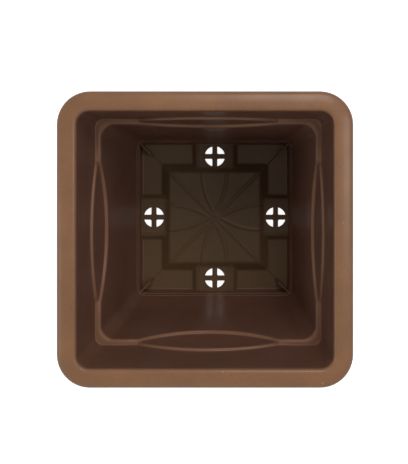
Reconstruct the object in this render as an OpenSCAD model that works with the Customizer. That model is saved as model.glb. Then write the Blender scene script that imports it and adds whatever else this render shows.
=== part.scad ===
// Square plant pot: one plastic moulding with a rolled rim, a stepped collar, an eye-shaped
// panel on each side, a two-tier foot and a raised floor that drains through four holes.
// The origin is the centre of the base, on the surface that the pot stands on, with +Z up.
// The inside is drawn first. The outside is the same form, grown and lowered by the wall.

/* [Rim] */
// Width over the rim
rim_w = 302; // [270:1:330]
// Width of the rim from its outer edge to the mouth
rim_band = 21; // [17:0.5:24]
// Radius of the mouth's corners, with the rim's outer corners around the same centres
mouth_corner_r = 13; // [9:0.5:20]
// Depth of the rim's outer skirt
skirt_h = 26; // [18:1:40]
// How far the skirt leans in at its lower edge
skirt_lean = 0.5; // [0:0.1:1.5]
// Radius of the rim's inner edge
mouth_edge_r = 4; // [3.5:0.5:6]
// Radius of the rim's outer edge
skirt_edge_r = 4; // [4:0.5:7]
// Slope of the crowned rim where it meets its outer edge, in degrees
crown_a = 12; // [8:1:45]

/* [Body] */
// Overall height
pot_h = 265; // [240:1:300]
// Thickness of the moulded wall
wall = 2.5; // [2:0.1:3]
// Depth of the inside step below the rim's top
step_drop = 73; // [60:1:90]
// How much the collar narrows on each side from the rim to the step
collar_taper = 3.2; // [1.5:0.1:5]
// Width of the ledge at the step
step_w = 6.8; // [5.5:0.1:9]
// How much the body narrows on each side from the step to the foot
body_taper = 13; // [8:0.5:22]
// Inside corner radius of the body at the step
body_corner_r = 14.5; // [10:0.5:20]
// Inside corner radius of the body at the foot
foot_corner_r = 12.4; // [9:0.1:18]

/* [Side panels] */
// Distance of the panel's tips from the walls beside it
panel_end = 41; // [30:1:60]
// Height of the panel's upper arc above the step
panel_rise = 20; // [12:1:28]
// Depth of the panel's lower arc below the step
panel_fall = 30; // [18:1:40]
// How far the panel is set in from the collar
panel_inset = 3.4; // [2.6:0.1:4]
// How much the panel narrows from its upper arc to its lower one
panel_taper = 2.6; // [1:0.1:3.5]

/* [Foot] */
// Height of the foot's upper tier above the floor
upper_tier_h = 20; // [18:1:26]
// Height of the foot's lower tier above the floor
lower_tier_h = 14; // [11:1:16]
// Width of the ledge on each tier
tier_w = 0.9; // [0.6:0.1:1.8]
// Draft of the foot's wall, in degrees
foot_draft = 9; // [1:0.5:11]
// Radius between the floor and the foot's wall
floor_edge_r = 2.5; // [1:0.5:4]

/* [Floor] */
// Width of the low floor between the raised centre and the wall
gutter_w = 27.5; // [26:0.5:34]
// Width of the slope around the raised centre
block_slope_w = 11.3; // [8:0.1:14]
// Height of the raised centre above the corners of the floor
block_h = 9; // [7:0.5:12]
// Corner radius of the raised centre
block_corner_r = 5; // [3:0.5:10]
// Height of the four drainage channels above the corners of the floor
channel_h = 5.5; // [4:0.5:6.5]
// Flat width of a channel
channel_w = 52; // [48:1:60]
// Width of the slope on each side of a channel
channel_slope_w = 5.3; // [3:0.1:8]

/* [Drains] */
// Diameter of a drain hole
drain_d = 28; // [22:0.5:29]
// Gap between a drain hole and the wall
drain_gap = 3; // [2:0.5:4]
// Width of the two bars that cross a drain hole
bar_w = 7; // [3:0.5:9]
// Radius of the windows' inner corners
window_r = 1.5; // [0.5:0.5:3]

/* [Ribs] */
// Thickness of the stacking rib in each corner
stack_rib_t = 1.5; // [1.2:0.1:3]
// Distance of its foot from the two walls of the corner
stack_rib_gap = 17; // [12:0.5:20]
// How far its end leans back towards the corner
stack_rib_lean = 3; // [1:0.5:6]
// Width of the low ribs that lead the plastic across the floor
flow_rib_w = 4.6; // [3:0.2:5]
// Height of these ribs
flow_rib_h = 0.7; // [0.5:0.1:1]
// Distance of the curved ribs from the middle of a channel, where they leave the raised centre
flow_rib_at = 17.2; // [16:0.1:19]
// Distance of the straight ribs from the middle of a channel
side_rib_at = 20.8; // [19:0.1:22]
// Height of the straight ribs
side_rib_h = 0.5; // [0.3:0.1:0.8]
// Width of the thin line from the raised centre to each stacking rib
corner_line_w = 1.4; // [1:0.1:3]
// Height of this line
corner_line_h = 0.4; // [0.3:0.1:0.8]
// Diameter of the hub that all these ribs start from
hub_d = 15; // [10:1:20]
// Height of the hub
hub_h = 0.9; // [0.8:0.1:2]

/* [Hidden] */
$fn = 96;
pot_colour = "#5a4337";
// Sides of a round corner in the tapered forms
corner_n = 8;
// Length by which a cut passes its surface
past = 1;
// Depth to which a rib or a raised form is rooted in the floor
root = wall / 2;

rim_half = rim_w / 2;
mouth_half = rim_half - rim_band;
// Centre of every corner in the collar and the rim
corner_c = mouth_half - mouth_corner_r;
step_z = pot_h - step_drop;
step_half = mouth_half - collar_taper - step_w;
foot_half = step_half - body_taper;
upper_tier_z = wall + upper_tier_h;
body_lean = (step_half - foot_half) / (step_z - upper_tier_z);
// Height to which the body's form runs up inside the collar
body_over = 8;

// Section of the rim: a small arc at the mouth, a wide crown and a small arc at the skirt
mouth_face = collar_half(pot_h - mouth_edge_r);
crest_x = mouth_face + mouth_edge_r;
crown_r = skirt_edge_r + (rim_half - skirt_edge_r - crest_x) / sin(crown_a);
edge_x = rim_half - skirt_edge_r;
edge_z = pot_h - crown_r + (crown_r - skirt_edge_r) * cos(crown_a);
skirt_z = pot_h - skirt_h;

// Arcs that bound the side panel, both through its two tips
panel_half = step_half - panel_end;
upper_arc_r = (pow(panel_half, 2) + pow(panel_rise, 2)) / (2 * panel_rise);
lower_arc_r = (pow(panel_half, 2) + pow(panel_fall, 2)) / (2 * panel_fall);

// Half widths of the foot below each tier
under_upper = foot_half - tier_w;
over_lower = under_upper - tan(foot_draft) * (upper_tier_h - lower_tier_h);
under_lower = over_lower - tier_w;
floor_half = under_lower - tan(foot_draft) * lower_tier_h;

floor_z = wall;
block_z = floor_z + block_h;
channel_z = floor_z + channel_h;
block_half = floor_half - gutter_w;
block_top_half = block_half - block_slope_w;
block_lean = block_slope_w / block_h;
// Half width of the raised centre where a channel meets it
channel_start = block_half - block_lean * channel_h;

// Distances of the drain holes and of the stacking ribs from the centre, along X and along Y
drain_at = floor_half - drain_gap - drain_d / 2;
stack_rib_at = floor_half - stack_rib_gap;

// Each curved rib starts at the hub's edge and turns until it lies along the channel
flow_start = hub_d / 2;
flow_a = 2 * atan(flow_rib_at / (block_top_half - flow_start));
flow_r = (block_top_half - flow_start) / sin(flow_a);
// Angle by which it runs on under the hub
flow_over = 2;
diagonal = sqrt(2);

// Inside half width of the collar at height z
function collar_half(z) = mouth_half - collar_taper * (pot_h - z) / step_drop;

// Points of an arc from angle a0 to angle a1, leaving out the first skip of them
function arc(x, y, r, a0, a1, n, skip = 0) =
    [for (i = [skip:n]) [x + r * cos(a0 + (a1 - a0) * i / n), y + r * sin(a0 + (a1 - a0) * i / n)]];

// Square with round corners at height z
function ring(z, half, r) = [
    for (a = [0:90:270], i = [0:corner_n])
        let (c = half - r, b = a + 90 * i / corner_n)
        [c * (cos(a) - sin(a)) + r * cos(b), c * (sin(a) + cos(a)) + r * sin(b), z]
];

// Solid through a stack of rings, each given as its height, half width and corner radius
module loft(rings) {
    n = 4 * (corner_n + 1);
    last = len(rings) - 1;
    polyhedron(
        points = [for (s = rings) each ring(s[0], s[1], s[2])],
        faces = concat(
            [[for (i = [0:n - 1]) i]],
            [for (k = [0:last - 1], i = [0:n - 1])
                [k * n + i, (k + 1) * n + i, (k + 1) * n + (i + 1) % n, k * n + (i + 1) % n]],
            [[for (i = [n - 1:-1:0]) last * n + i]]
        ),
        convexity = 4
    );
}

// Solid with round corners from a half section that starts and ends on the axis
module squared(section) {
    n = len(section);
    for (a = [0, 90]) {
        rotate([90, 0, a])
            linear_extrude(2 * corner_c, center = true)
                polygon(concat(section, [for (i = [n - 2:-1:1]) [-section[i][0], section[i][1]]]));
    }
    for (a = [0:90:270]) {
        rotate(a)
            translate([corner_c, corner_c, 0])
                rotate_extrude(angle = 90)
                    polygon([for (p = section) [max(p[0] - corner_c, 0), p[1]]]);
    }
}

// Rings of the body from the floor to inside the collar. g is 0 inside, and the wall outside.
function body_rings(g) =
    let (
        z = floor_z - g,
        top = step_z + body_over,
        top_half = step_half + body_lean * body_over,
        steps = [
            [lower_tier_h, under_lower],
            [lower_tier_h, over_lower],
            [upper_tier_h, under_upper],
            [upper_tier_h, foot_half]
        ]
    )
    concat(
        [for (a = [0:30:90])
            let (in = floor_edge_r * (1 - sin(a)))
            [z + floor_edge_r * (1 - cos(a)), floor_half - in + g, foot_ring_r(floor_half - in) + g]],
        [for (s = steps) [z + s[0], s[1] + g, foot_ring_r(s[1]) + g]],
        [[top - g, top_half + g, body_corner_r + g]]
    );

// Corner radius in the foot, where all corners share their centres
function foot_ring_r(half) = foot_corner_r - (foot_half - half);

// Half section of the collar's inside, open at the mouth
function collar_section() = concat(
    [[0, step_z], [collar_half(step_z), step_z]],
    arc(crest_x, pot_h - mouth_edge_r, mouth_edge_r, 180, 90, 5),
    [[crest_x, pot_h + past], [0, pot_h + past]]
);

// Half section of the collar's outside with the rolled rim and its hollow underside
function rim_section() = concat(
    [[0, step_z - wall], [collar_half(step_z - wall) + wall, step_z - wall]],
    arc(crest_x, pot_h - mouth_edge_r, mouth_edge_r - wall, 180, 90, 3),
    arc(crest_x, pot_h - crown_r, crown_r - wall, 90, 90 - crown_a, 6, 1),
    arc(edge_x, edge_z, skirt_edge_r - wall, 90 - crown_a, 0, 4, 1),
    [[rim_half - wall - skirt_lean, skirt_z], [rim_half - skirt_lean, skirt_z]],
    arc(edge_x, edge_z, skirt_edge_r, 0, 90 - crown_a, 5),
    arc(crest_x, pot_h - crown_r, crown_r, 90 - crown_a, 90, 8, 1),
    [[0, pot_h]]
);

// Eye shape of the side panel, run through the whole pot along X
module eye(g) {
    rotate([90, 0, 90])
        linear_extrude(rim_w + 2 * past, center = true)
            translate([0, step_z - g])
                intersection() {
                    translate([0, panel_rise - upper_arc_r])
                        circle(upper_arc_r);
                    translate([0, lower_arc_r - panel_fall])
                        circle(lower_arc_r);
                }
}

// Block whose two ends along X are the faces of the panels
module panel_slab(g) {
    low = -panel_fall - past;
    high = panel_rise + past;
    mid = collar_half(step_z) - panel_inset + g;
    lean = panel_taper / (panel_rise + panel_fall);
    rotate([90, 0, 0])
        linear_extrude(2 * (panel_half + past), center = true)
            translate([0, step_z - g])
                polygon([
                    [-mid - lean * low, low],
                    [mid + lean * low, low],
                    [mid + lean * high, high],
                    [-mid - lean * high, high]
                ]);
}

// Solid form of the pot's inside when g is 0, and of its outside when g is the wall
module form(g) {
    loft(body_rings(g));
    difference() {
        squared(g > 0 ? rim_section() : collar_section());
        for (a = [0, 90]) {
            rotate(a)
                difference() {
                    eye(g);
                    panel_slab(g);
                }
        }
    }
    for (a = [0, 90]) {
        rotate(a)
            intersection() {
                eye(g);
                panel_slab(g);
            }
    }
}

// Raised centre and the four channels that run from it to the wall
module raised_floor(reach) {
    edge = 1.2;
    loft([
        [floor_z - root, block_half + block_lean * root, block_corner_r],
        [block_z - edge, block_top_half + block_lean * edge, block_corner_r - edge],
        [block_z - edge / 4, block_top_half + block_lean * edge / 6, block_corner_r - edge],
        [block_z, block_top_half - edge, block_corner_r - 2 * edge]
    ]);
    foot = channel_w / 2 + channel_slope_w * (channel_h + root) / channel_h;
    for (a = [0, 90]) {
        rotate([90, 0, a])
            linear_extrude(2 * reach, center = true)
                polygon([
                    [-foot, floor_z - root],
                    [foot, floor_z - root],
                    [channel_w / 2, channel_z],
                    [-channel_w / 2, channel_z]
                ]);
    }
}

// Round hole crossed by two bars, which leave four windows
module drain() {
    inner = bar_w / 2;
    outer = drain_d;
    for (a = [0:90:270]) {
        rotate(a)
            linear_extrude(channel_z + past)
                intersection() {
                    circle(d = drain_d);
                    polygon(concat(
                        [[outer, outer], [inner, outer]],
                        arc(inner + window_r, inner + window_r, window_r, 180, 270, 4),
                        [[outer, inner]]
                    ));
                }
    }
}

// Thin upright rib in one corner, which keeps stacked pots apart
module stacking_rib() {
    foot = stack_rib_at * diagonal;
    tip = (stack_rib_at + stack_rib_lean) * diagonal;
    low_end = (floor_half - foot_ring_r(floor_half)) * diagonal + foot_ring_r(floor_half) + root / 2;
    high_end = (under_upper - foot_ring_r(under_upper)) * diagonal + foot_ring_r(under_upper) + root / 2;
    rotate([90, 0, 45])
        linear_extrude(stack_rib_t, center = true)
            polygon([
                [foot, floor_z - root],
                [low_end, floor_z - root],
                [high_end, upper_tier_z],
                [tip, upper_tier_z]
            ]);
}

// Low rib of width w and height h that follows a path of distances and heights
module straight_rib(path, w, h) {
    n = len(path);
    rotate([90, 0, 0])
        linear_extrude(w, center = true)
            polygon(concat(
                [for (p = path) [p[0], p[1] + h]],
                [for (i = [n - 1:-1:0]) [path[i][0], path[i][1] - root / 2]]
            ));
}

// Rib that leaves the hub, turns outwards and runs down to the channel
module curved_rib() {
    translate([block_top_half, flow_rib_at - flow_r, 0])
        rotate(90)
            rotate_extrude(angle = flow_a + flow_over)
                translate([flow_r - flow_rib_w / 2, block_z - root / 2])
                    square([flow_rib_w, flow_rib_h + root / 2]);
    translate([0, flow_rib_at, 0])
        straight_rib([[block_top_half, block_z], [channel_start, channel_z]], flow_rib_w, flow_rib_h);
}

// Straight rib that runs beside a drain hole from the raised centre to the wall
module side_rib() {
    translate([0, side_rib_at, 0])
        straight_rib(
            [[channel_start - flow_rib_w / 2, channel_z], [floor_half, channel_z]],
            flow_rib_w,
            side_rib_h
        );
}

// Hub, the ribs on the raised centre, the ribs in the channels and the lines in the corners
module flow_ribs() {
    translate([0, 0, block_z - root / 2])
        cylinder(d = hub_d, h = hub_h + root / 2);
    for (a = [0:90:270]) {
        for (side = [0, 1]) {
            rotate(a)
                mirror([0, side, 0]) {
                    curved_rib();
                    side_rib();
                }
        }
        rotate(a + 45) {
            straight_rib(
                [[hub_d / 4, block_z], [block_top_half * diagonal - block_corner_r / 2, block_z]],
                flow_rib_w,
                flow_rib_h
            );
            straight_rib(
                [
                    [block_half * diagonal - block_corner_r / 2, floor_z],
                    [stack_rib_at * diagonal + past, floor_z]
                ],
                corner_line_w,
                corner_line_h
            );
        }
    }
}

module pot() {
    color(pot_colour)
        difference() {
            union() {
                difference() {
                    form(wall);
                    form(0);
                }
                raised_floor(floor_half + root);
                for (a = [0:90:270]) {
                    rotate(a)
                        stacking_rib();
                }
                flow_ribs();
            }
            translate([0, 0, -wall])
                raised_floor(foot_half + wall + past);
            for (a = [0:90:270]) {
                rotate(a)
                    translate([drain_at, 0, 0])
                        drain();
            }
        }
}

pot();
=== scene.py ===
# %% [markdown]
# # A square plant pot, looked at from straight above
#
# The pot is one moulding of brown plastic. It was pressed in a steel mould, so it has one wall thickness
# everywhere, soft outer edges and sharper inner corners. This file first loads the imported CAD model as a
# frame to work in, then models the moulding again with softer edges, and last gives it its finish.

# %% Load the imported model
import math

import bmesh
import bpy
from mathutils import Matrix, Vector


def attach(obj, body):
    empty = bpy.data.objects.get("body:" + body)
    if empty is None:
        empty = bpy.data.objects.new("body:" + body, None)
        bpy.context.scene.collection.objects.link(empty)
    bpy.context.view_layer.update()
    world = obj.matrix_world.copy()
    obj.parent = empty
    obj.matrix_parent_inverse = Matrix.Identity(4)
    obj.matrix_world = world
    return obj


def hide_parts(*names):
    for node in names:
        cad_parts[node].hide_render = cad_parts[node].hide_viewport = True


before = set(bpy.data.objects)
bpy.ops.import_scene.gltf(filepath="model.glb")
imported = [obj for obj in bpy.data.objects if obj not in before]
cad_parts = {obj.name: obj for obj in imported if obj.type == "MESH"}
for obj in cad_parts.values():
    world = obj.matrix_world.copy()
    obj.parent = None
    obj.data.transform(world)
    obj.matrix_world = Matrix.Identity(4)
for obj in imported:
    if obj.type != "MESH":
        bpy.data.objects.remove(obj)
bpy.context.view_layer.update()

# %% [markdown]
# ## The camera
#
# The photo looks straight down into the pot, and the pot stands off the middle of the view. A camera that
# looks straight down keeps the four sides of the rim parallel, as they are in the photo, and a lens shift
# slides the picture without tilting the camera.

# %% Camera
MM = 0.001
camera_data = bpy.data.cameras.new("camera")
camera = bpy.data.objects.new("camera", camera_data)
bpy.context.scene.collection.objects.link(camera)
bpy.context.scene.camera = camera
camera.location = (36.5 * MM, 83.5 * MM, 933 * MM)
camera_data.sensor_width = 36
camera_data.lens = 51.36
camera_data.shift_x = -0.0795
camera_data.shift_y = -0.1606
camera_data.clip_start = 0.01
print("camera", round(camera.location.z, 3), "m above the floor, lens", round(camera_data.lens, 1), "mm")

# %% [markdown]
# ## Floor, background and light
#
# The floor is white to the camera, to reflections and to anything seen through the drain holes, so it glows
# at a strength just under 1 for those rays. The rest comes from its own white colour, which the pot's shadow
# darkens. The world does the same around it. Four soft lamps stand round the pot, the strongest behind it,
# and the world fills in.

# %% Rays that see the background
def background_rays(nodes, links):
    """Returns a socket that is 1 for camera, glossy and transmission rays."""
    path = nodes.new("ShaderNodeLightPath")
    total = path.outputs["Is Camera Ray"]
    for name in ("Is Glossy Ray", "Is Transmission Ray"):
        either = nodes.new("ShaderNodeMath")
        either.operation = "MAXIMUM"
        links.new(total, either.inputs[0])
        links.new(path.outputs[name], either.inputs[1])
        total = either.outputs[0]
    return total


# %% World
FILL = 0.22
world = bpy.data.worlds.new("studio")
bpy.context.scene.world = world
world.use_nodes = True
nodes, links = world.node_tree.nodes, world.node_tree.links
nodes.clear()
strength = nodes.new("ShaderNodeMapRange")
strength.inputs["To Min"].default_value = FILL
strength.inputs["To Max"].default_value = 1.0
links.new(background_rays(nodes, links), strength.inputs["Value"])
sky = nodes.new("ShaderNodeBackground")
sky.inputs["Color"].default_value = (1, 1, 1, 1)
links.new(strength.outputs["Result"], sky.inputs["Strength"])
output = nodes.new("ShaderNodeOutputWorld")
links.new(sky.outputs[0], output.inputs["Surface"])
bpy.context.scene.view_settings.view_transform = "Standard"
print("world fills in", FILL, "of the light")

# %% Floor
bm = bmesh.new()
bmesh.ops.create_grid(bm, x_segments=1, y_segments=1, size=4)
floor_mesh = bpy.data.meshes.new("floor")
bm.to_mesh(floor_mesh)
bm.free()
floor = bpy.data.objects.new("floor", floor_mesh)
bpy.context.scene.collection.objects.link(floor)

white = bpy.data.materials.new("white_floor")
white.use_nodes = True
nodes, links = white.node_tree.nodes, white.node_tree.links
paint = nodes["Principled BSDF"]
paint.inputs["Base Color"].default_value = (0.8, 0.8, 0.8, 1)
paint.inputs["Roughness"].default_value = 0.9
glow = nodes.new("ShaderNodeMapRange")
glow.inputs["To Min"].default_value = 0
glow.inputs["To Max"].default_value = 0.93
links.new(background_rays(nodes, links), glow.inputs["Value"])
paint.inputs["Emission Color"].default_value = (1, 1, 1, 1)
links.new(glow.outputs["Result"], paint.inputs["Emission Strength"])
floor_mesh.materials.append(white)
print("floor", floor.dimensions[:2])


# %% Lamps
AIM = Vector((0, 0, 0.25))


def lamp(name, place, size, power, tint=(1, 1, 1)):
    """A square lamp at place that shines at AIM, both in metres, with its power in watts."""
    data = bpy.data.lights.new(name, "AREA")
    data.shape = "SQUARE"
    data.size = size
    data.energy = power
    data.color = tint
    thing = bpy.data.objects.new(name, data)
    bpy.context.scene.collection.objects.link(thing)
    thing.location = place
    thing.rotation_euler = (AIM - Vector(place)).to_track_quat("-Z", "Y").to_euler()
    print(name, power, "W at", place)


lamp("back_lamp", (0.38, 1.36, 2.28), 0.9, 15.2, (1, 0.92, 0.87))
lamp("right_lamp", (1.38, 0.1, 2.33), 0.75, 7.4)
lamp("left_lamp", (-1.82, -0.35, 1.45), 0.9, 4.6)
lamp("front_lamp", (-0.2, -1.95, 1.6), 0.9, 1.1)

# %% [markdown]
# ## The sizes of the pot
#
# These are the sizes of the CAD source, in millimetres. The wall has one thickness, so the outside is the
# inside's form grown and lowered by the wall, and one set of numbers draws both. A size that ends in HALF is
# half a width, and one that ends in Z is a height above the ground.

# %% Sizes of the rim and the wall
WALL = 2.5
POT_H = 265
RIM_HALF = 151
SKIRT_H = 26
SKIRT_LEAN = 0.5
MOUTH_HALF = 130
CORNER_C = 117  # middle of each corner of the rim and the collar
STEP_DROP = 73
STEP_Z = POT_H - STEP_DROP
COLLAR_TAPER = 3.2
STEP_HALF = 120
BODY_CORNER = 14.5
FOOT_HALF = 107
FOOT_CORNER = 12.4
PANEL_HALF = 79
PANEL_RISE = 20
PANEL_FALL = 30
PANEL_INSET = 3.4
PANEL_TAPER = 2.6
PANEL_CORNER = 12.1
print("rim", 2 * RIM_HALF, "mm square, step at", STEP_Z, "mm")

# %% Sizes of the foot and the floor
UPPER_TIER_Z = 22.5
LOWER_TIER_Z = 16.5
TIER_W = 0.9
DRAFT = math.tan(math.radians(9))
FLOOR_Z = 2.5
FLOOR_LIP = 4  # how far the wall's foot runs in, into the floor plate
FOOT_IN = 97
BLOCK_HALF = 74.53
BLOCK_SLOPE = 11.3
BLOCK_TOP = 63.2
BLOCK_CORNER = 5
BLOCK_H = 9
CHANNEL_H = 5.5
CHANNEL_HALF = 26
CHANNEL_SLOPE = 5.3
DRAIN_AT = 85
DRAIN_R = 14
BAR_HALF = 3.5
WINDOW_R = 1.5
HUB_R = 7.5
FLOW_RIB_AT = 17.2
SIDE_RIB_AT = 20.8

under_upper = FOOT_HALF - TIER_W
over_lower = under_upper - DRAFT * (UPPER_TIER_Z - LOWER_TIER_Z)
under_lower = over_lower - TIER_W
floor_half = under_lower - DRAFT * (LOWER_TIER_Z - FLOOR_Z)
print("the floor measures", round(2 * floor_half, 1), "mm across")

# %% [markdown]
# ## A section through the wall
#
# The wall changes along each side, because an eye-shaped panel splits its ledge into an upper and a lower
# arc. So the section is drawn anew at each place y along a side, always with the same number of points:
# where there is no panel, the extra points fall together and are merged later. Each point holds the half
# width of the pot, the height, and the radius of the pot's corner there.


# %% Round the corners of a section
MOST = 0.6


def rounded(section):
    """Rounds corners, each (half, z, corner radius, rounding, steps), by MOST of an edge at most."""
    points = []
    for i, (half, z, corner, rounding, steps) in enumerate(section):
        here = Vector((half, z, corner))
        if steps == 0:
            points.append(here)
            continue
        before = Vector(section[i - 1][:3])
        after = Vector(section[i + 1][:3])
        u, v = before - here, after - here
        flat_u, flat_v = u.xy.length, v.xy.length
        if rounding <= 0 or min(flat_u, flat_v) < 1e-6:
            points += [here] * (steps + 1)
            continue
        angle = u.xy.angle(v.xy)
        cut = min(rounding / math.tan(angle / 2), MOST * flat_u, MOST * flat_v)
        start, end = here + u * cut / flat_u, here + v * cut / flat_v
        radius = cut * math.tan(angle / 2)
        middle = here.xy + (u.xy / flat_u + v.xy / flat_v).normalized() * radius / math.sin(angle / 2)
        turn = (start.xy - middle).angle_signed(end.xy - middle)
        for k in range(steps + 1):
            spoke = (start.xy - middle).copy()
            spoke.rotate(Matrix.Rotation(-turn * k / steps, 2))
            place = middle + spoke
            points.append(Vector((place.x, place.y, start.z + (end.z - start.z) * k / steps)))
    return points


# %% Heights and half widths of the wall
def collar_half(z):
    return MOUTH_HALF - COLLAR_TAPER * (POT_H - z) / STEP_DROP


def collar_corner(z):
    return collar_half(z) - CORNER_C


def panel_half(z):
    lean = PANEL_TAPER / (PANEL_RISE + PANEL_FALL)
    return collar_half(STEP_Z) - PANEL_INSET + lean * (z - STEP_Z)


def body_half(z):
    return FOOT_HALF + (STEP_HALF - FOOT_HALF) * (z - UPPER_TIER_Z) / (STEP_Z - UPPER_TIER_Z)


def body_corner(z):
    return FOOT_CORNER + (BODY_CORNER - FOOT_CORNER) * (z - UPPER_TIER_Z) / (STEP_Z - UPPER_TIER_Z)


def foot_corner(half):
    """Corner radius in the foot, where all corners share their centres."""
    return FOOT_CORNER - (FOOT_HALF - half)


def arc_height(y, rise):
    """Height above its ends of an arc as long as the panel and rising this much."""
    radius = (PANEL_HALF**2 + rise**2) / (2 * rise)
    y = min(abs(y), PANEL_HALF)
    return rise - radius + math.sqrt(radius**2 - y**2)


print("panel", round(STEP_Z - PANEL_FALL), "to", round(STEP_Z + PANEL_RISE), "mm high at its middle")


# %% Section of the wall at a place along a side
BODY_MIDDLE_Z = 100
COLLAR_MIDDLE_Z = 235


def wall_section(y):
    """Corners of the inside of the wall, from the floor up to the collar, at y along a side."""
    upper = STEP_Z + arc_height(y, PANEL_RISE)
    lower = STEP_Z - arc_height(y, PANEL_FALL)
    gap = upper - lower
    beyond = 2.3 * max(1 - gap / 5, 0)  # the two arcs draw apart where they meet
    floor_in = floor_half - FLOOR_LIP
    return [
        (floor_in, FLOOR_Z, foot_corner(floor_in), 0, 0),
        (floor_half, FLOOR_Z, foot_corner(floor_half), 2.8, 8),
        (under_lower, LOWER_TIER_Z, foot_corner(under_lower), 0.4, 3),
        (over_lower, LOWER_TIER_Z, foot_corner(over_lower), 0.3, 2),
        (under_upper, UPPER_TIER_Z, foot_corner(under_upper), 0.4, 3),
        (FOOT_HALF, UPPER_TIER_Z, foot_corner(FOOT_HALF), 0.3, 2),
        (body_half(BODY_MIDDLE_Z), BODY_MIDDLE_Z, body_corner(BODY_MIDDLE_Z), 0, 0),
        (body_half(lower), lower, body_corner(lower), 4, 7),
        (panel_half(lower) + beyond, lower, PANEL_CORNER, min(1.2, gap * 0.4), 4),
        (panel_half(upper) + beyond, upper, PANEL_CORNER, min(2.6, gap * 0.4), 5),
        (collar_half(upper), upper, collar_corner(upper), 1.4, 4),
        (collar_half(COLLAR_MIDDLE_Z), COLLAR_MIDDLE_Z, collar_corner(COLLAR_MIDDLE_Z), 0, 0),
    ]


print(len(rounded(wall_section(0))), "points up the inside of the wall")

# %% [markdown]
# ## The rolled rim
#
# The rim is crowned: an arc at the mouth, a long slope that falls away from it, and an arc over the outer
# edge into the skirt. Its underside is hollow and follows the same line, a wall's thickness away.


# %% Section of the rim
CROWN_A = 14.5  # degrees that the slope has turned by at the outer edge
MOUTH_R = 5
EDGE_R = 5.5
LIP_R = 1
CREST_X = collar_half(POT_H - MOUTH_R) + MOUTH_R
CROWN_R = EDGE_R + (RIM_HALF - EDGE_R - CREST_X) / math.sin(math.radians(CROWN_A))
EDGE_X = RIM_HALF - EDGE_R
EDGE_Z = POT_H - CROWN_R + (CROWN_R - EDGE_R) * math.cos(math.radians(CROWN_A))
SKIRT_Z = POT_H - SKIRT_H


def arc(x, z, radius, start, end, steps):
    """Points of an arc in the section, with the pot's corner radius for each."""
    points = []
    for k in range(steps + 1):
        a = math.radians(start + (end - start) * k / steps)
        half = x + radius * math.cos(a)
        points.append(Vector((half, z + radius * math.sin(a), half - CORNER_C)))
    return points


def rim_section():
    """Points from the mouth over the rim, round the skirt's lower edge and back under the crown."""
    over = arc(CREST_X, POT_H - MOUTH_R, MOUTH_R, 180, 90, 8)
    over += arc(CREST_X, POT_H - CROWN_R, CROWN_R, 90, 90 - CROWN_A, 8)[1:]
    over += arc(EDGE_X, EDGE_Z, EDGE_R, 90 - CROWN_A, 0, 8)[1:]
    lip_half = RIM_HALF - SKIRT_LEAN - LIP_R
    lip = arc(lip_half, SKIRT_Z + LIP_R, LIP_R, 0, -90, 3)
    lip += arc(lip_half - (WALL - 2 * LIP_R), SKIRT_Z + LIP_R, LIP_R, -90, -180, 3)
    under = arc(EDGE_X, EDGE_Z, EDGE_R - WALL, 0, 90 - CROWN_A, 4)
    under += arc(CREST_X, POT_H - CROWN_R, CROWN_R - WALL, 90 - CROWN_A, 90, 5)[1:]
    under += arc(CREST_X, POT_H - MOUTH_R, MOUTH_R - WALL, 90, 180, 4)[1:]
    return over + lip + under


print(len(rim_section()), "points round the rim")

# %% [markdown]
# ## The wall as rings
#
# Like a stack of hoops, the wall is a row of rings: a circle with as many points as the pot needs, pulled
# out to a square with round corners, and then extruded again and again to the next ring. The panel needs
# close points along the middle of each side, and the corners need them round the bend.


# %% Stations round the pot
def side_stations():
    """One side and the corner after it, as (kind, amount): mm along the side, share of an end or degrees."""
    side = [("end", -1 + k / 2) for k in range(2)]
    side += [("side", PANEL_HALF * math.sin(math.pi / 2 * (k / 20 - 1))) for k in range(41)]
    side += [("end", (k + 1) / 2) for k in range(2)]
    side += [("corner", 90 * (k + 1) / 11) for k in range(10)]
    return side


STATIONS = side_stations()


def station_point(kind, amount, point):
    """Where a station lies on a ring, for the side that faces +X."""
    half, z, corner = point
    c = half - corner
    if kind == "side":
        return Vector((half, amount, z))
    if kind == "end":
        far = PANEL_HALF + (c - PANEL_HALF) * abs(amount)
        return Vector((half, math.copysign(far, amount), z))
    a = math.radians(amount)
    return Vector((c + corner * math.cos(a), c + corner * math.sin(a), z))


print(4 * len(STATIONS), "points in each ring")


# %% Extrude ring after ring
def next_ring(bm, ring):
    """Extrudes a closed ring and returns its new points in the same order."""
    edges = [bm.edges.get(pair) for pair in zip(ring, ring[1:] + ring[:1])]
    made = set(bmesh.ops.extrude_edge_only(bm, edges=edges)["geom"])
    return [next(e.other_vert(v) for e in v.link_edges if e.other_vert(v) in made) for v in ring]


def build_wall():
    """The wall, rim and foot as a closed tube of rings, each station with a section of its own."""
    under = [(floor_half, 0, 8.4), (FOOT_IN, 0, 4.4), (FOOT_IN, 1.2, 4.4), (floor_half - FLOOR_LIP, 1.2, 5.9)]
    foot = [Vector(point) for point in under]
    columns = []
    for kind, amount in STATIONS:
        y = amount if kind == "side" else PANEL_HALF
        inside = rounded(wall_section(y))
        outside = [Vector((p.x + WALL, p.y - WALL, p.z + WALL)) for p in reversed(inside[1:])]
        columns.append(inside + rim_section() + outside + foot)
    bm = bmesh.new()
    ring = bmesh.ops.create_circle(bm, segments=4 * len(STATIONS), radius=100)["verts"]
    for k in range(len(columns[0]) + 1):
        for i, v in enumerate(ring):
            side, j = divmod(i, len(STATIONS))
            place = station_point(*STATIONS[j], columns[j][k % len(columns[0])])
            v.co = Matrix.Rotation(math.radians(90 * side), 3, "Z") @ place * MM
        if k < len(columns[0]):
            ring = next_ring(bm, ring)
    bmesh.ops.remove_doubles(bm, verts=bm.verts, dist=0.02 * MM)
    bmesh.ops.recalc_face_normals(bm, faces=bm.faces)
    return bm


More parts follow.
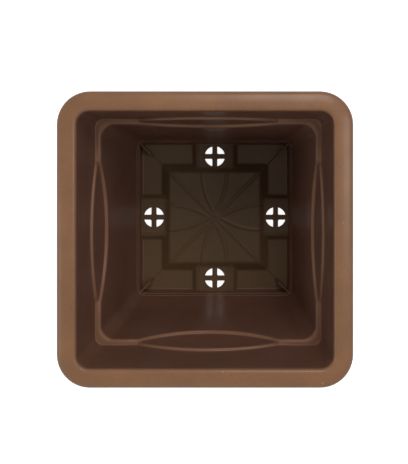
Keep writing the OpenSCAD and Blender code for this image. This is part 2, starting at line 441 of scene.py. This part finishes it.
wall_bm = build_wall()
print("wall:", len(wall_bm.faces), "faces,", sum(not e.is_manifold for e in wall_bm.edges), "open edges")

# %% [markdown]
# ## The floor plate
#
# The floor is pressed into three levels: a raised square, four drainage channels and four low L-shaped
# corners. A fine grid is lifted to those heights by a formula, because the slopes and their soft edges
# come out even all round. The same formula, a wall lower, makes the underside.


# %% Heights of the floor
def soft_min(a, b, k):
    """The smaller of two heights, blended where they are within k of each other."""
    h = max(k - abs(a - b), 0) / k
    return min(a, b) - h * h * k / 4


def soft_max(a, b, k):
    return -soft_min(-a, -b, k)


def block_height(x, y):
    """Height of the raised square over the floor's corners."""
    side = BLOCK_HALF - BLOCK_CORNER
    out = Vector((max(abs(x) - side, 0), max(abs(y) - side, 0))).length - BLOCK_CORNER
    if out <= -BLOCK_CORNER:
        out = max(abs(x), abs(y)) - side - BLOCK_CORNER
    return soft_min(-out * BLOCK_H / BLOCK_SLOPE, BLOCK_H, 1.5)


def channel_height(across):
    """Height of a channel, across mm from its middle, over the floor's corners."""
    rise = (CHANNEL_HALF + CHANNEL_SLOPE - abs(across)) * CHANNEL_H / CHANNEL_SLOPE
    return soft_min(rise, CHANNEL_H, 1.3)


def floor_top(x, y):
    h = soft_max(block_height(x, y), channel_height(x), 2.5)
    h = soft_max(h, channel_height(y), 2.5)
    return FLOOR_Z + soft_max(h, 0, 0.5)


def floor_under(x, y):
    """Height of the underside, which stands 1 mm higher at the corners' edges, inside the wall's foot."""
    top = floor_top(x, y)
    edge = min(max(max(abs(x), abs(y)) - 99.5, 0) / 1.5, 1)
    return top - WALL + 0.15 + (edge if top < 4 else 0)


print("floor levels", [round(floor_top(*p), 2) for p in ((0, 0), (95, 0), (95, 95))])


# %% Build the plate
PLATE_HALF = 103.2
PLATE_CORNER = 139.3  # from the middle to the cut across a corner


def build_plate():
    """A fine grid, cut across its corners, thickened and lifted to the floor's heights."""
    bm = bmesh.new()
    bmesh.ops.create_grid(bm, x_segments=165, y_segments=165, size=PLATE_HALF * MM)
    for turn in range(4):
        a = math.radians(45 + 90 * turn)
        out = Vector((math.cos(a), math.sin(a), 0))
        geom = bm.verts[:] + bm.edges[:] + bm.faces[:]
        cut = out * PLATE_CORNER * MM
        bmesh.ops.bisect_plane(bm, geom=geom, plane_co=cut, plane_no=out, clear_outer=True)
    top = bm.verts[:]
    made = bmesh.ops.extrude_face_region(bm, geom=bm.faces[:])["geom"]
    under = [g for g in made if isinstance(g, bmesh.types.BMVert)]
    for v in top:
        v.co.z = floor_top(v.co.x / MM, v.co.y / MM) * MM
    for v in under:
        v.co.z = floor_under(v.co.x / MM, v.co.y / MM) * MM
    bmesh.ops.recalc_face_normals(bm, faces=bm.faces)
    return bm


plate_bm = build_plate()
print("plate:", len(plate_bm.faces), "faces")

# %% [markdown]
# ## Drain holes
#
# Each drain is a round hole crossed by two bars, so it is four windows. One window is a quarter of a disc:
# a disc cut by two planes, with its inner corner bevelled, and pushed up into a cutter. The same cutter
# turns round the hole and round the pot, and a Boolean takes all sixteen out of the plate.


# %% Cutters for the drain windows
def window_cutter():
    """One of the four windows of a drain, as a tall closed cutter."""
    bm = bmesh.new()
    bmesh.ops.create_circle(bm, cap_ends=True, segments=64, radius=DRAIN_R * MM)
    for out in (Vector((-1, 0, 0)), Vector((0, -1, 0))):
        geom = bm.verts[:] + bm.edges[:] + bm.faces[:]
        bmesh.ops.bisect_plane(bm, geom=geom, plane_co=-out * BAR_HALF * MM, plane_no=out, clear_outer=True)
    corners = [v for v in bm.verts if len(v.link_edges) == 2 and v.calc_edge_angle(0) > 0.9]
    inner = [v for v in corners if v.co.length < 5 * MM]
    outer = [v for v in corners if v not in inner]
    kind = {"affect": "VERTICES", "segments": 4, "profile": 0.5, "material": -1, "offset_type": "OFFSET"}
    bmesh.ops.bevel(bm, geom=inner, offset=WINDOW_R * MM, **kind)
    bmesh.ops.bevel(bm, geom=[v for v in outer if v.is_valid], offset=0.5 * MM, **kind)
    top = bmesh.ops.extrude_face_region(bm, geom=bm.faces[:])["geom"]
    bmesh.ops.translate(bm, verts=[g for g in top if isinstance(g, bmesh.types.BMVert)], vec=(0, 0, 30 * MM))
    bmesh.ops.translate(bm, verts=bm.verts, vec=(0, 0, -5 * MM))
    return bm


def repeated(bm, turns):
    """The same mesh turned round the middle in equal steps."""
    mesh = bpy.data.meshes.new("turned")
    bm.to_mesh(mesh)
    for k in range(1, turns):
        mesh.transform(Matrix.Rotation(2 * math.pi / turns, 4, "Z"))
        bm.from_mesh(mesh)
    bpy.data.meshes.remove(mesh)
    return bm


drain_bm = repeated(window_cutter(), 4)
bmesh.ops.translate(drain_bm, verts=drain_bm.verts, vec=(DRAIN_AT * MM, 0, 0))
drain_bm = repeated(drain_bm, 4)
bmesh.ops.recalc_face_normals(drain_bm, faces=drain_bm.faces)
print("drain cutter:", len(drain_bm.faces), "faces")


# %% Cut with a Boolean
def as_object(bm, name):
    """Turns a bmesh into an object. Its faces become triangles, which a Boolean cuts without bending them."""
    bmesh.ops.triangulate(bm, faces=bm.faces)
    mesh = bpy.data.meshes.new(name)
    bm.to_mesh(mesh)
    bm.free()
    thing = bpy.data.objects.new(name, mesh)
    bpy.context.scene.collection.objects.link(thing)
    return thing


def combine(thing, other, operation):
    """Runs a Boolean between two closed meshes, keeps its result and removes the other object."""
    step = thing.modifiers.new("combine", "BOOLEAN")
    step.operation = operation
    step.solver = "MANIFOLD"
    step.object = other
    done = bpy.data.meshes.new_from_object(thing.evaluated_get(bpy.context.evaluated_depsgraph_get()))
    thing.modifiers.clear()
    thing.data = done
    bpy.data.objects.remove(other)
    return thing


plate = combine(as_object(plate_bm, "floor_plate"), as_object(drain_bm, "drain_cutter"), "DIFFERENCE")
print("plate with its drains:", len(plate.data.polygons), "faces")


# %% Cut the channels' mouths out of the wall
MOUTH_Z = (-1, 5.65)
MOUTH_REACH = 112


def mouth_cutter(turn):
    """A bar with sloping sides that runs under the whole pot, along X turned by turn."""
    slope_w = CHANNEL_SLOPE * (MOUTH_Z[1] - MOUTH_Z[0]) / CHANNEL_H
    bm = bmesh.new()
    bmesh.ops.create_cube(bm, size=1)
    for v in bm.verts:
        high = v.co.z > 0
        width = CHANNEL_HALF if high else CHANNEL_HALF + slope_w
        v.co = Vector((math.copysign(MOUTH_REACH, v.co.x), math.copysign(width, v.co.y), MOUTH_Z[high])) * MM
    bmesh.ops.rotate(bm, verts=bm.verts, cent=(0, 0, 0), matrix=Matrix.Rotation(turn, 3, "Z"))
    return bm


wall = as_object(wall_bm, "wall")
for turn in (0, math.pi / 2):
    combine(wall, as_object(mouth_cutter(turn), "mouth_cutter"), "DIFFERENCE")
print("wall with its mouths:", len(wall.data.polygons), "faces")

# %% [markdown]
# ## Low ribs on the floor
#
# When the pot was moulded, the plastic came in at the middle and ran out along shallow ribs. Each rib is a
# soft ridge: a small section drawn across its path and extruded from point to point, with every point set
# on the floor's own height, so a rib follows the slopes without a gap.

# %% Section of a low rib
RIB_TOP = 0.7
RIB_SIDE = [(0.9, 0.6), (1.8, 0.36), (2.7, 0.1), (3.3, -0.05), (3.4, -1)]
RIB_SECTION = [(-x, z) for x, z in reversed(RIB_SIDE)] + [(0, RIB_TOP)] + RIB_SIDE


def build_rib(path, height, width=1, fade=0):
    """A rib as high as height, with fade points at each end where it sinks into the floor."""
    bm = bmesh.new()
    ring = bmesh.ops.create_circle(bm, segments=len(RIB_SECTION), radius=1)["verts"]
    first = ring
    for k, here in enumerate(path):
        ahead = (path[min(k + 1, len(path) - 1)] - path[max(k - 1, 0)]).normalized()
        across = Vector((-ahead.y, ahead.x))
        strength = min(1, (min(k, len(path) - 1 - k) + 0.15) / fade) if fade else 1
        for v, (aside, rise) in zip(ring, RIB_SECTION):
            spot = here + across * aside * width
            lift = rise * height / RIB_TOP * strength if rise > 0 else rise
            v.co = Vector((spot.x, spot.y, floor_top(spot.x, spot.y) + lift)) * MM
        last = ring
        if k < len(path) - 1:
            ring = next_ring(bm, ring)
    bmesh.ops.contextual_create(bm, geom=first)
    bmesh.ops.contextual_create(bm, geom=last)
    bmesh.ops.recalc_face_normals(bm, faces=bm.faces)
    return bm


# %% Curved, side and diagonal ribs
def curved_path():
    """From the hub's edge, turning outwards until it lies along the channel."""
    reach = BLOCK_TOP - HUB_R
    bend = 2 * math.atan(FLOW_RIB_AT / reach)
    radius = reach / math.sin(bend)
    turns = [1.03 * bend * (1 - k / 20) for k in range(20)]  # starts a little inside the hub
    path = [
        Vector((BLOCK_TOP - radius * math.sin(a), FLOW_RIB_AT - radius * (1 - math.cos(a)))) for a in turns
    ]
    return path + [Vector((x, FLOW_RIB_AT)) for x in (BLOCK_TOP, 64.5, 66, 67.5, 68.4)]


def straight_path(start, end, steps):
    return [start.lerp(end, k / steps) for k in range(steps + 1)]


rib_list = []
for flip in (1, -1):
    rib_list.append(build_rib([Vector((p.x, p.y * flip)) for p in curved_path()], 0.8))
    side = straight_path(Vector((66.5, SIDE_RIB_AT * flip)), Vector((102.5, SIDE_RIB_AT * flip)), 8)
    rib_list.append(build_rib(side, 0.5))
rib_list.append(build_rib(straight_path(Vector((6, 6)), Vector((61.2, 61.2)), 40), 0.8, fade=2))
rib_list.append(build_rib(straight_path(Vector((71, 71)), Vector((86, 86)), 12), 0.4, width=0.3))
ribs = [as_object(repeated(bm, 4), "low_ribs") for bm in rib_list]
print("low ribs:", sum(len(r.data.polygons) for r in ribs), "faces")


# %% Hub
HUB_PROFILE = [(9.6, -1), (9.4, 0), (8.4, 0.35), (6.9, 0.6), (3.2, 0.72)]  # (radius, height) over the square
HUB_PROFILE += [(2.7, 0.9), (2.2, 0.84), (1.7, 0.42), (0.8, 0.4), (0.45, 0.9)]


def build_hub():
    """A low button whose rings follow HUB_PROFILE, with the stub of the moulding gate in its middle."""
    bm = bmesh.new()
    ring = bmesh.ops.create_circle(bm, segments=48, radius=1)["verts"]
    first = ring
    for k, (radius, rise) in enumerate(HUB_PROFILE):
        for i, v in enumerate(ring):
            a = 2 * math.pi * i / len(ring)
            v.co = Vector((radius * math.cos(a), radius * math.sin(a), FLOOR_Z + BLOCK_H + rise)) * MM
        if k < len(HUB_PROFILE) - 1:
            ring = next_ring(bm, ring)
    bmesh.ops.contextual_create(bm, geom=first)
    bmesh.ops.contextual_create(bm, geom=ring)
    bmesh.ops.recalc_face_normals(bm, faces=bm.faces)
    return bm


hub = as_object(build_hub(), "hub")
print("hub:", len(hub.data.polygons), "faces")

# %% [markdown]
# ## Stacking ribs
#
# A thin upright rib stands in each corner and keeps stacked pots apart. It is one flat face in the plane
# of the diagonal, given its thickness by an extrusion, with its edges bevelled.


# %% Stacking rib
STACK_T = 1.5
STACK_FACE = [(120.2, 1.6), (141.5, 1.6), (144.8, UPPER_TIER_Z), (124.5, UPPER_TIER_Z)]


def build_stacking_ribs():
    """Four ribs with corners at STACK_FACE's distances and heights, bevelled where they stand clear."""
    bm = bmesh.new()
    face = bmesh.ops.create_circle(bm, cap_ends=True, segments=4, radius=1)["verts"]
    for v, (out, z) in zip(face, STACK_FACE):
        v.co = Vector((out, -STACK_T / 2, z)) * MM
    top = bmesh.ops.extrude_face_region(bm, geom=bm.faces[:])["geom"]
    moved = [g for g in top if isinstance(g, bmesh.types.BMVert)]
    bmesh.ops.translate(bm, verts=moved, vec=(0, STACK_T * MM, 0))
    bmesh.ops.recalc_face_normals(bm, faces=bm.faces)
    edges = [
        e
        for e in bm.edges
        if max(v.co.xy.length for v in e.verts) < 126 * MM or min(v.co.z for v in e.verts) > 22 * MM
    ]
    bmesh.ops.bevel(bm, geom=edges, offset=0.2 * MM, segments=2, affect="EDGES", profile=0.5, material=-1)
    bmesh.ops.rotate(bm, verts=bm.verts, cent=(0, 0, 0), matrix=Matrix.Rotation(math.radians(45), 3, "Z"))
    return repeated(bm, 4)


stacking = as_object(build_stacking_ribs(), "stacking_ribs")
print("stacking ribs:", len(stacking.data.polygons), "faces")


# %% Join the parts of the moulding
SHARP = math.radians(38)


def joined(things, name):
    """Joins closed meshes into one, smooth all over but for its edges sharper than SHARP."""
    for other in things[1:]:
        combine(things[0], other, "UNION")
    bm = bmesh.new()
    bm.from_mesh(things[0].data)
    bpy.data.objects.remove(things[0])
    print(sum(not e.is_manifold for e in bm.edges), "open edges after joining")
    for face in bm.faces:
        face.smooth = True
    for edge in bm.edges:
        edge.smooth = edge.calc_face_angle(0) < SHARP
    return as_object(bm, name)


pot = joined([wall, plate, stacking, *ribs, hub], "plant_pot")
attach(pot, "root")
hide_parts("pot")
print("pot:", len(pot.data.polygons), "faces")

# %% [markdown]
# ## Brown plastic
#
# The plastic is coloured through, with a satin face from the mould. It isn't one flat brown. It is a little
# uneven where the colour mixed, dust has settled on faces that look up low inside the pot, the rim and the
# ledges are more polished and carry a paler colour on their faces that look up, which is painted sheen, the
# tops of the stacking ribs carry a paler colour that is a painted highlight, a thin film dulls three of the
# walls, and fine scratches run every way. Each effect is a node group with named inputs, so that it can be
# placed in any other plastic, and all of them read Object coordinates, which stay with the pot.


# %% Make a node group
def new_group(name, inputs, outputs):
    """A node group, and its inputs and outputs seen from inside. Sockets are (name, kind, value)."""
    group = bpy.data.node_groups.new(name, "ShaderNodeTree")
    for title, kind, value in inputs:
        socket = group.interface.new_socket(title, in_out="INPUT", socket_type="NodeSocket" + kind)
        socket.default_value = value
    for title, kind in outputs:
        group.interface.new_socket(title, in_out="OUTPUT", socket_type="NodeSocket" + kind)
    given = group.nodes.new("NodeGroupInput")
    result = group.nodes.new("NodeGroupOutput")
    return group, given.outputs, result.inputs


def place_group(tree, group, **values):
    """Puts a group in a node tree and gives its outputs. In the names of values, _ stands for a space."""
    node = tree.nodes.new("ShaderNodeGroup")
    node.node_tree = group
    for title, value in values.items():
        feed(tree, value, node.inputs[title.replace("_", " ")])
    return node.outputs


def feed(tree, value, socket):
    """Links a socket, or sets a plain value."""
    if isinstance(value, bpy.types.NodeSocket):
        tree.links.new(value, socket)
    else:
        socket.default_value = value


# %% Small steps inside a node tree
def math_step(tree, operation, a, b=0.0, clamp=False):
    node = tree.nodes.new("ShaderNodeMath")
    node.operation = operation
    node.use_clamp = clamp
    feed(tree, a, node.inputs[0])
    feed(tree, b, node.inputs[1])
    return node.outputs[0]


def between(tree, value, low, high, from_zero=0.0, to_one=1.0):
    """Maps value smoothly from low..high to from_zero..to_one."""
    node = tree.nodes.new("ShaderNodeMapRange")
    node.interpolation_type = "SMOOTHSTEP"
    feed(tree, value, node.inputs["Value"])
    for title, number in zip(("From Min", "From Max", "To Min", "To Max"), (low, high, from_zero, to_one)):
        feed(tree, number, node.inputs[title])
    return node.outputs["Result"]


def blend(tree, factor, a, b, mode="MIX"):
    """Blends colour a into b. A Mix node has its colours at inputs 6 and 7 and output 2."""
    node = tree.nodes.new("ShaderNodeMix")
    node.data_type = "RGBA"
    node.blend_type = mode
    feed(tree, factor, node.inputs["Factor"])
    feed(tree, a, node.inputs[6])
    feed(tree, b, node.inputs[7])
    return node.outputs[2]


def object_place(tree, stretch=(1, 1, 1), turn=0.0):
    """Object coordinates in metres, turned about Z and stretched."""
    where = tree.nodes.new("ShaderNodeTexCoord")
    mapping = tree.nodes.new("ShaderNodeMapping")
    mapping.inputs["Scale"].default_value = stretch
    mapping.inputs["Rotation"].default_value = (0, 0, turn)
    tree.links.new(where.outputs["Object"], mapping.inputs["Vector"])
    return mapping.outputs["Vector"]


def noise(tree, place, scale, detail=2.0, rough=0.5):
    node = tree.nodes.new("ShaderNodeTexNoise")
    feed(tree, place, node.inputs["Vector"])
    feed(tree, scale, node.inputs["Scale"])
    node.inputs["Detail"].default_value = detail
    node.inputs["Roughness"].default_value = rough
    return node.outputs["Fac"]


def split_place(tree, output="Object"):
    """X, Y and Z of the Object coordinates, or of the surface's own normal."""
    where = tree.nodes.new("ShaderNodeTexCoord")
    split = tree.nodes.new("ShaderNodeSeparateXYZ")
    tree.links.new(where.outputs[output], split.inputs[0])
    return split.outputs


# %% Grain from the mould
def grain_group():
    """A fine grain and a wider unevenness, as heights."""
    tree, given, result = new_group(
        "moulded_grain",
        [("Grains per metre", "Float", 1800), ("Waves per metre", "Float", 90)],
        [("Height", "Float")],
    )
    fine = noise(tree, object_place(tree), given["Grains per metre"], 2)
    waves = noise(tree, object_place(tree), given["Waves per metre"], 1)
    feed(tree, math_step(tree, "ADD", fine, math_step(tree, "MULTIPLY", waves, 1.6)), result["Height"])
    return tree


grain = grain_group()


# %% Uneven colour
def mixing_group():
    """Cloudy patches and fine specks that lighten or darken a colour."""
    tree, given, result = new_group(
        "uneven_colour",
        [("Color", "Color", (0.2, 0.1, 0.05, 1)), ("Clouds", "Float", 0.1), ("Specks", "Float", 0.1)],
        [("Color", "Color")],
    )
    clouds = math_step(tree, "SUBTRACT", noise(tree, object_place(tree), 22, 3), 0.5)
    specks = math_step(tree, "SUBTRACT", noise(tree, object_place(tree), 1100, 1), 0.5)
    change = math_step(tree, "MULTIPLY", clouds, math_step(tree, "MULTIPLY", given["Clouds"], 4.0))
    fine = math_step(tree, "MULTIPLY", specks, math_step(tree, "MULTIPLY", given["Specks"], 4.0))
    level = math_step(tree, "ADD", math_step(tree, "ADD", change, fine), 1.0)
    shade = tree.nodes.new("ShaderNodeCombineColor")
    for title in ("Red", "Green", "Blue"):
        tree.links.new(level, shade.inputs[title])
    feed(tree, blend(tree, 1.0, given["Color"], shade.outputs[0], "MULTIPLY"), result["Color"])
    return tree


uneven = mixing_group()


# %% Dust on faces that look up
def dust_group():
    """Where dust lies: on faces that look up, below a height, thicker in cloudy patches."""
    tree, given, result = new_group(
        "settled_dust", [("Below", "Float", 0.03), ("Amount", "Float", 0.5)], [("Mask", "Float")]
    )
    up = between(tree, split_place(tree, "Normal")["Z"], 0.4, 0.85)
    fall = math_step(tree, "SUBTRACT", given["Below"], split_place(tree)["Z"])
    low = between(tree, fall, 0.0, 0.01)
    patches = between(tree, noise(tree, object_place(tree), 60, 4, 0.6), 0.3, 0.7, 0.55, 1.0)
    mask = math_step(tree, "MULTIPLY", math_step(tree, "MULTIPLY", up, low), patches)
    feed(tree, math_step(tree, "MULTIPLY", mask, given["Amount"], True), result["Mask"])
    return tree


dust = dust_group()


# %% Scratches
def scratch_group():
    """Fine straight scratches in three directions, where a stretched noise crosses its middle value."""
    tree, given, result = new_group("fine_scratches", [("Width", "Float", 0.01)], [("Mask", "Float")])
    total = None
    for turn, long_side in ((0.5, 5), (1.9, 4), (2.7, 6)):
        line = noise(tree, object_place(tree, (long_side, 190, 30), turn), 1.0, 1)
        off = math_step(tree, "ABSOLUTE", math_step(tree, "SUBTRACT", line, 0.5))
        thin = between(tree, math_step(tree, "DIVIDE", off, given["Width"]), 0.3, 1.0, 1.0, 0.0)
        patch = between(tree, noise(tree, object_place(tree, turn=turn), 35, 1), 0.55, 0.65)
        mark = math_step(tree, "MULTIPLY", thin, patch)
        total = mark if total is None else math_step(tree, "MAXIMUM", total, mark)
    feed(tree, total, result["Mask"])
    return tree


scratches = scratch_group()


# %% Polish and painted sheen on the rim and ledges
def polish_and_sheen_group():
    """Faces that look up above a height, in patches: where the rim and ledges are more polished and have a
    painted sheen.
    """
    tree, given, result = new_group("polish_and_painted_sheen", [("Above", "Float", 0.25)], [("Mask", "Float")])
    high = between(tree, math_step(tree, "SUBTRACT", split_place(tree)["Z"], given["Above"]), 0.0, 0.01)
    up = between(tree, split_place(tree, "Normal")["Z"], 0.3, 0.95)
    patches = between(tree, noise(tree, object_place(tree), 26, 4, 0.55), 0.25, 0.75, 0.7, 1.0)
    feed(tree, math_step(tree, "MULTIPLY", math_step(tree, "MULTIPLY", high, up), patches), result["Mask"])
    return tree


polish_and_sheen = polish_and_sheen_group()


# %% Painted highlight on the tops of the stacking ribs
def rib_highlight_group():
    """The tops of the stacking ribs on the two diagonals, where a paler colour paints their highlight."""
    tree, given, result = new_group("painted_rib_highlight", [("Above", "Float", 0.022)], [("Mask", "Float")])
    place = split_place(tree)
    x, y = (math_step(tree, "ABSOLUTE", place[axis]) for axis in "XY")
    off = math_step(tree, "ABSOLUTE", math_step(tree, "SUBTRACT", x, y))
    line = between(tree, off, 0.0011, 0.0016, 1.0, 0.0)
    height = math_step(tree, "SUBTRACT", place["Z"], given["Above"])
    low, high = between(tree, height, -0.0004, 0.0), between(tree, height, 0.001, 0.003, 1.0, 0.0)
    band = math_step(tree, "MULTIPLY", low, high)
    feed(tree, math_step(tree, "MULTIPLY", line, band), result["Mask"])
    return tree


rib_highlight = rib_highlight_group()


# %% One mark at a place
def mark_group():
    """A patch at a place: 1 at its middle, 0 beyond its radius, with an uneven edge."""
    tree, given, result = new_group(
        "small_mark", [("Place", "Vector", (0, 0, 0)), ("Radius", "Float", 0.001)], [("Mask", "Float")]
    )
    reach = tree.nodes.new("ShaderNodeVectorMath")
    reach.operation = "DISTANCE"
    feed(tree, object_place(tree), reach.inputs[0])
    feed(tree, given["Place"], reach.inputs[1])
    far = math_step(tree, "DIVIDE", reach.outputs["Value"], given["Radius"])
    unevenness = math_step(tree, "MULTIPLY", noise(tree, object_place(tree), 1500), 0.8)
    ragged = math_step(tree, "ADD", far, unevenness)
    feed(tree, between(tree, ragged, 0.9, 1.5, 1.0, 0.0), result["Mask"])
    return tree


small_mark = mark_group()
print("node groups", [g.name for g in bpy.data.node_groups])

# %% Colour of the pot
BROWN = (0.2, 0.1, 0.068, 1)
# The rim's paler colour is painted sheen on its faces that look up; the plastic there is the same brown.
PAINTED_RIM_SHEEN = (0.35, 0.167, 0.072, 1)
# The ledges' paler colour is painted sheen on their faces that look up.
PAINTED_LEDGE_SHEEN = (0.38, 0.205, 0.108, 1)
# The stacking ribs' tops get a paler colour: a painted highlight where light falls on them.
PAINTED_RIB_HIGHLIGHT = (0.23, 0.15, 0.1, 1)
DUSTY = (0.165, 0.117, 0.058, 1)
PALE_NICK = (0.45, 0.33, 0.24, 1)
DARK_NICK = (0.05, 0.025, 0.015, 1)
NICKS = [
    ((0.0184, -0.1329, 0.2645), 0.0009, PALE_NICK),
    ((0.0265, -0.1367, 0.2645), 0.0008, DARK_NICK),
    ((0.1400, 0.0174, 0.2645), 0.0008, PALE_NICK),
    ((0.1193, -0.1450, 0.2640), 0.0010, PALE_NICK),
]

brown = bpy.data.materials.new("brown_plastic")
brown.use_nodes = True
tree = brown.node_tree
plastic = tree.nodes["Principled BSDF"]
# This mask gives the rim its painted sheen in colour, and its coat and roughness.
rim_polish_and_sheen_mask = place_group(tree, polish_and_sheen, Above=0.25)["Mask"]
# This mask gives the ledges their painted sheen in colour, and their coat.
ledge_polish_and_sheen_mask = math_step(tree, "SUBTRACT", place_group(tree, polish_and_sheen, Above=0.155)["Mask"], rim_polish_and_sheen_mask, True)
# This mask places the painted highlight on the tops of the stacking ribs.
rib_highlight_mask = place_group(tree, rib_highlight, Above=0.022)["Mask"]
dust_mask = place_group(tree, dust, Below=0.021, Amount=0.95)["Mask"]
scratch_mask = place_group(tree, scratches, Width=0.012)["Mask"]

coloured = place_group(tree, uneven, Color=BROWN, Clouds=0.1, Specks=0.12)["Color"]
painted_rim_sheen_colour = place_group(tree, uneven, Color=PAINTED_RIM_SHEEN, Clouds=0.06, Specks=0.1)["Color"]
# Painted sheen: a paler colour on the rim's faces that look up.
coloured = blend(tree, rim_polish_and_sheen_mask, coloured, painted_rim_sheen_colour)
# Painted sheen: part of a paler colour on the ledges.
coloured = blend(tree, math_step(tree, "MULTIPLY", ledge_polish_and_sheen_mask, 0.55), coloured, PAINTED_LEDGE_SHEEN)
# Painted highlight on the tops of the stacking ribs.
coloured = blend(tree, rib_highlight_mask, coloured, PAINTED_RIB_HIGHLIGHT)
coloured = blend(tree, dust_mask, coloured, DUSTY)
coloured = blend(tree, math_step(tree, "MULTIPLY", scratch_mask, 0.03), coloured, PALE_NICK)
for where, radius, colour in NICKS:
    nick_mask = place_group(tree, small_mark, Place=where, Radius=radius)["Mask"]
    coloured = blend(tree, nick_mask, coloured, colour)
feed(tree, coloured, plastic.inputs["Base Color"])
print("colour of", brown.name, "blended from", len(tree.nodes), "nodes")

# %% Sheen and grain of the pot
FILM_R = 0.08
FILMS = [((0.112, 0, 0.07), 0.3), ((0, 0.112, 0.07), 0.3), ((-0.112, 0, 0.07), 0.16)]  # (place, dulling)

roughness = math_step(tree, "ADD", math_step(tree, "MULTIPLY", dust_mask, 0.01), 0.34)
roughness = math_step(tree, "ADD", roughness, math_step(tree, "MULTIPLY", rim_polish_and_sheen_mask, 0.06))
for where, dulling in FILMS:
    film_mask = place_group(tree, small_mark, Place=where, Radius=FILM_R)["Mask"]
    roughness = math_step(tree, "ADD", roughness, math_step(tree, "MULTIPLY", film_mask, dulling))
roughness = math_step(tree, "ADD", roughness, math_step(tree, "MULTIPLY", scratch_mask, 0.08), True)
feed(tree, roughness, plastic.inputs["Roughness"])
plastic.inputs["Specular IOR Level"].default_value = 0.15

rim_polish = math_step(tree, "MULTIPLY", rim_polish_and_sheen_mask, 0.5)
step_polish = math_step(tree, "MULTIPLY", ledge_polish_and_sheen_mask, 0.1)
feed(tree, math_step(tree, "ADD", rim_polish, step_polish), plastic.inputs["Coat Weight"])
plastic.inputs["Coat Roughness"].default_value = 0.25

bump = tree.nodes.new("ShaderNodeBump")
bump.inputs["Distance"].default_value = 0.00002
bump.inputs["Strength"].default_value = 0.6
grain_height = place_group(tree, grain, Grains_per_metre=1800, Waves_per_metre=90)["Height"]
feed(tree, grain_height, bump.inputs["Height"])
feed(tree, bump.outputs["Normal"], plastic.inputs["Normal"])
pot.data.materials.clear()
pot.data.materials.append(brown)
print("material", brown.name, "with", len(tree.nodes), "nodes")
